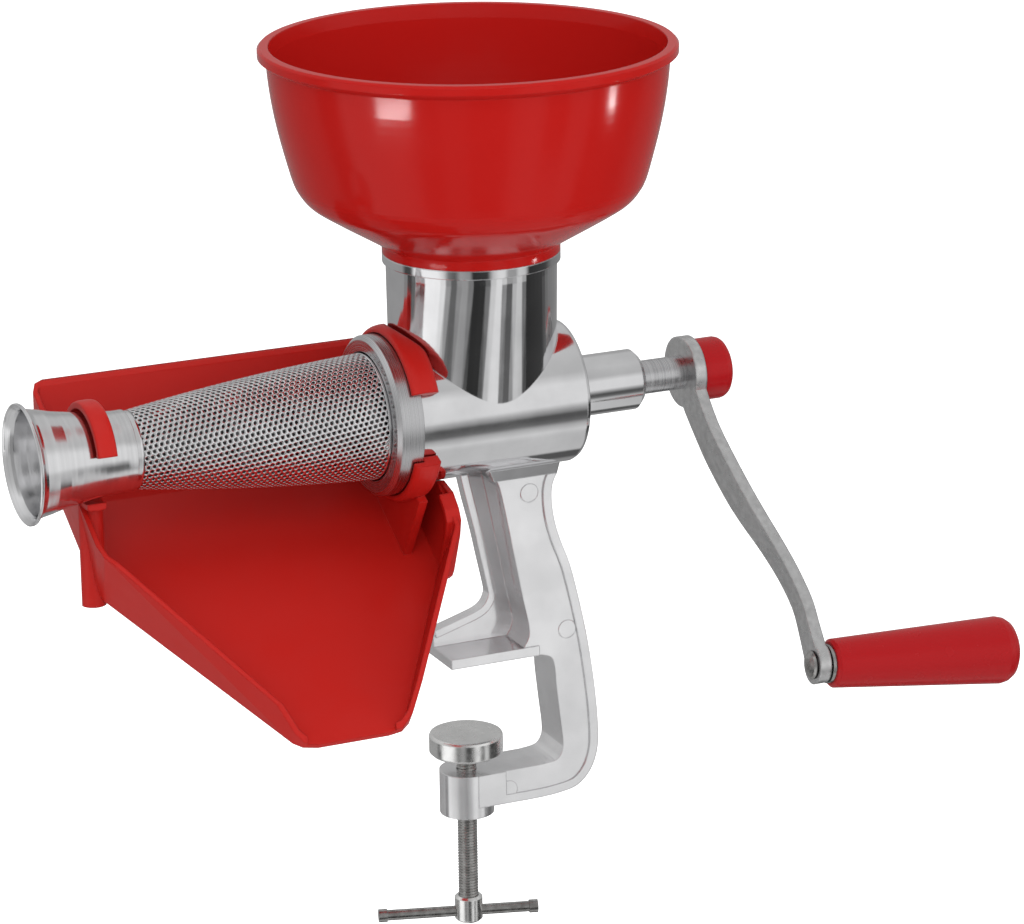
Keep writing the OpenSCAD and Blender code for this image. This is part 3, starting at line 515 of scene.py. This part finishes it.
def thread(name, low, high, material, body):
    """A rod with a real helical thread along Z, in mm.

    The thread fades in and out over its first and last turn, and a plain core
    closes its inside.
    """
    steps = THREAD_STEPS
    turns = (high - low - THREAD_PITCH) / THREAD_PITCH
    count = int(turns * steps)
    verts, faces = [], []
    for i in range(count + 1):
        a = TAU * i / steps
        fade = min(1, i / steps, (count - i) / steps)
        for dz, r in THREAD_PROFILE:
            rr = THREAD_ROOT + (r - THREAD_ROOT) * fade
            verts.append((rr * math.cos(a), rr * math.sin(a),
                          low + dz + THREAD_PITCH * i / steps))
    n = len(THREAD_PROFILE)
    for i in range(count):
        a, b = i * n, (i + 1) * n
        faces += [(a + k, a + k + 1, b + k + 1, b + k) for k in range(n - 1)]
    base = len(verts)
    tip, core = THREAD_ROOT - CORE_IN, THREAD_ROOT + CORE_OUT
    rings = [(low, tip), (low, core), (low + THREAD_PITCH, core),
             (high - THREAD_PITCH, core), (high, core), (high, tip)]
    for z, r in rings:
        verts += [(r * math.cos(TAU * i / steps),
                   r * math.sin(TAU * i / steps), z) for i in range(steps)]
    for k in range(len(rings) - 1):
        a, b = base + k * steps, base + (k + 1) * steps
        faces += [(a + i, a + (i + 1) % steps, b + (i + 1) % steps, b + i)
                  for i in range(steps)]
    top = base + (len(rings) - 1) * steps
    faces += [tuple(range(base, base + steps)),
              tuple(range(top, top + steps))]
    return mesh_object(name, verts, faces, material, body)


# ------------------------------------------------------------------- studio
def add_camera():
    """The camera that was fitted to the photograph."""
    yaw, pitch, roll = (math.radians(a) for a in
                        (CAMERA_YAW, CAMERA_PITCH, CAMERA_ROLL))
    forward = Vector((math.sin(yaw) * math.cos(pitch),
                      math.cos(yaw) * math.cos(pitch), -math.sin(pitch)))
    right = Vector((math.cos(yaw), -math.sin(yaw), 0))
    up = right.cross(forward)
    side = math.cos(roll) * right + math.sin(roll) * up
    top = -math.sin(roll) * right + math.cos(roll) * up
    data = bpy.data.cameras.new("camera")
    data.sensor_width, data.sensor_fit = SENSOR, "HORIZONTAL"
    data.lens = CAMERA_LENS
    data.clip_end = 100
    camera = bpy.data.objects.new("camera", data)
    bpy.context.scene.collection.objects.link(camera)
    at = Vector(CAMERA_AT) * MM
    camera.matrix_world = Matrix(((side.x, top.x, -forward.x, at.x),
                                  (side.y, top.y, -forward.y, at.y),
                                  (side.z, top.z, -forward.z, at.z),
                                  (0, 0, 0, 1)))
    bpy.context.scene.camera = camera


def studio_walls(tree):
    """Grey level of the studio in each direction: pale walls, dark gaps.

    The walls run round the object from behind it, by its left, front and
    right, and back. From the ground up there are a pale floor, white panels
    with dark gaps between them, one more gap that stops short of the horizon,
    a softer strip on the horizon, and pale panels above.
    """
    where = tree.nodes.new("ShaderNodeTexCoord").outputs["Generated"]
    turn = tree.nodes.new("ShaderNodeMapping")
    turn.inputs["Rotation"].default_value = (0, 0, -math.radians(WALLS_FACE))
    tree.links.new(where, turn.inputs["Vector"])
    split = tree.nodes.new("ShaderNodeSeparateXYZ")
    tree.links.new(turn.outputs[0], split.inputs[0])
    angle = tree_math(tree, "ARCTAN2", split.outputs[1], split.outputs[0])
    around = tree_math(tree, "ADD", tree_math(tree, "DIVIDE", angle, TAU), 0.5)
    half_up = tree_math(tree, "MULTIPLY", split.outputs[2], 0.5)
    up = tree_math(tree, "ADD", half_up, 0.5)
    low = grey_ramp(tree, around, WALLS_LOW)
    high = grey_ramp(tree, around, WALLS_HIGH)
    horizon = grey_ramp(tree, around, WALLS_HORIZON)
    gap = tree_math(tree, "MULTIPLY", grey_ramp(tree, around, GAP_AROUND),
                    grey_ramp(tree, up, GAP_HEIGHT))
    under = grey_ramp(tree, around, UNDER_AROUND)
    wall = blend_greys(tree, grey_ramp(tree, up, UNDER_TO_LOW), under, low)
    wall = blend_greys(tree, grey_ramp(tree, up, LOW_TO_HORIZON),
                       wall, horizon)
    wall = blend_greys(tree, gap, wall, GAP_LEVEL)
    return blend_greys(tree, grey_ramp(tree, up, HORIZON_TO_HIGH), wall, high)


def background(tree, strength):
    """A white background light."""
    node = tree.nodes.new("ShaderNodeBackground")
    node.inputs["Color"].default_value = (1, 1, 1, 1)
    node.inputs["Strength"].default_value = strength
    return node


def mix_shaders(tree, factor, a, b):
    node = tree.nodes.new("ShaderNodeMixShader")
    for i, socket in enumerate((factor, a, b)):
        tree.links.new(socket, node.inputs[i])
    return node.outputs[0]


def add_world():
    """White to the camera, studio walls to gloss, even light to the rest."""
    world = bpy.data.worlds.new("studio")
    bpy.context.scene.world = world
    world.use_nodes = True
    tree = world.node_tree
    tree.nodes.remove(tree.nodes["Background"])
    light = background(tree, WORLD_LIGHT)
    white = background(tree, 1)
    shiny = background(tree, WALLS_LIGHT)
    tree.links.new(studio_walls(tree), shiny.inputs["Color"])
    mix = mix_shaders(tree, seen_directly(tree, "Is Glossy Ray"),
                      light.outputs[0], shiny.outputs[0])
    over = mix_shaders(tree, seen_directly(tree, "Is Camera Ray",
                                           "Is Transmission Ray"),
                       mix, white.outputs[0])
    out = next(n for n in tree.nodes if n.type == "OUTPUT_WORLD")
    tree.links.new(over, out.inputs["Surface"])


def add_floor():
    """A pale floor that shows the object's shadow to the camera alone."""
    half = FLOOR_HALF
    mesh = bpy.data.meshes.new("floor")
    mesh.from_pydata([(-half, -half, FLOOR_Z), (half, -half, FLOOR_Z),
                      (half, half, FLOOR_Z), (-half, half, FLOOR_Z)],
                     [], [(0, 1, 2, 3)])
    floor = bpy.data.objects.new("floor", mesh)
    bpy.context.scene.collection.objects.link(floor)
    material = bpy.data.materials.new("floor")
    material.use_nodes = True
    tree = material.node_tree
    bsdf = tree.nodes["Principled BSDF"]
    bsdf.inputs["Base Color"].default_value = (0.9, 0.9, 0.9, 1)
    bsdf.inputs["Roughness"].default_value = 0.9
    bsdf.inputs["Specular IOR Level"].default_value = 0
    bsdf.inputs["Emission Color"].default_value = (1, 1, 1, 1)
    glow = tree_math(tree, "MULTIPLY", seen_directly(tree, "Is Camera Ray"),
                     FLOOR_GLOW)
    tree.links.new(glow, bsdf.inputs["Emission Strength"])
    mesh.materials.append(material)
    floor.visible_glossy = False


def add_light(name, at, aim, size, power):
    """A square soft box that gloss does not mirror."""
    data = bpy.data.lights.new(name, "AREA")
    data.energy = power
    data.size = size
    light = bpy.data.objects.new(name, data)
    light.location = at
    toward = Vector(aim) - Vector(at)
    light.rotation_euler = toward.to_track_quat("-Z", "Y").to_euler()
    light.visible_glossy = False
    bpy.context.scene.collection.objects.link(light)
    return light


def add_glint(name, at, aim, width, power, piece):
    """A low soft box that shows only as a reflection in one glossy piece."""
    light = add_light(name, at, aim, width, power)
    light.data.shape = "RECTANGLE"
    light.data.size_y = GLINT_HEIGHT
    light.visible_glossy = True
    light.visible_diffuse = False
    light.visible_camera = False
    receivers = bpy.data.collections.new(name)
    receivers.objects.link(piece)
    light.light_linking.receiver_collection = receivers


def add_lights(hopper):
    for name, at, size, power in LAMPS:
        add_light(name, at, LAMPS_AIM, size, power)
    for name, at, width, power in GLINTS:
        add_glint(name, at, GLINTS_AIM, width, power, hopper)


# --------------------------------------------------------------------- main
# pieces that look unlike the rest of their material slot
OWN_LOOK = {"clamp_frame": "frame", "crank_arm": "arm",
            "drip_tray": "red_tray", "filter_collar": "turned_steel",
            "pressure_pad": "pad", "screw_head": "pad",
            "auger_shaft": "turned_steel"}
# where the plain bands of the cone's two ends stop, as shares of its length
TAIL_END, FLANGE_START = 0.055, 0.975


def main():
    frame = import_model()
    materials = make_materials()
    for part in frame["record"]["subparts"]:
        node = frame["nodes"][part["node"]]
        node.data.materials.clear()
        key = OWN_LOOK.get(part["node"], part["material_slot"])
        node.data.materials.append(materials[key])
    sheet = perforated_cone(materials["sieve"])
    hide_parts("filter_cone")
    cone_band("cone_tail", 0, TAIL_END, materials["sieve"])
    cone_band("cone_flange", FLANGE_START, 1, materials["sieve"])
    cone_seam(materials["sieve"])
    low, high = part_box("clamp_screw")
    rod = thread("thread_rod", low.z / MM, high.z / MM,
                 materials["screw_steel"], "screw")
    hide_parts("clamp_screw")
    add_camera()
    add_world()
    add_floor()
    add_lights(frame["nodes"]["hopper"])
    bpy.context.scene.view_settings.view_transform = "Standard"


main()
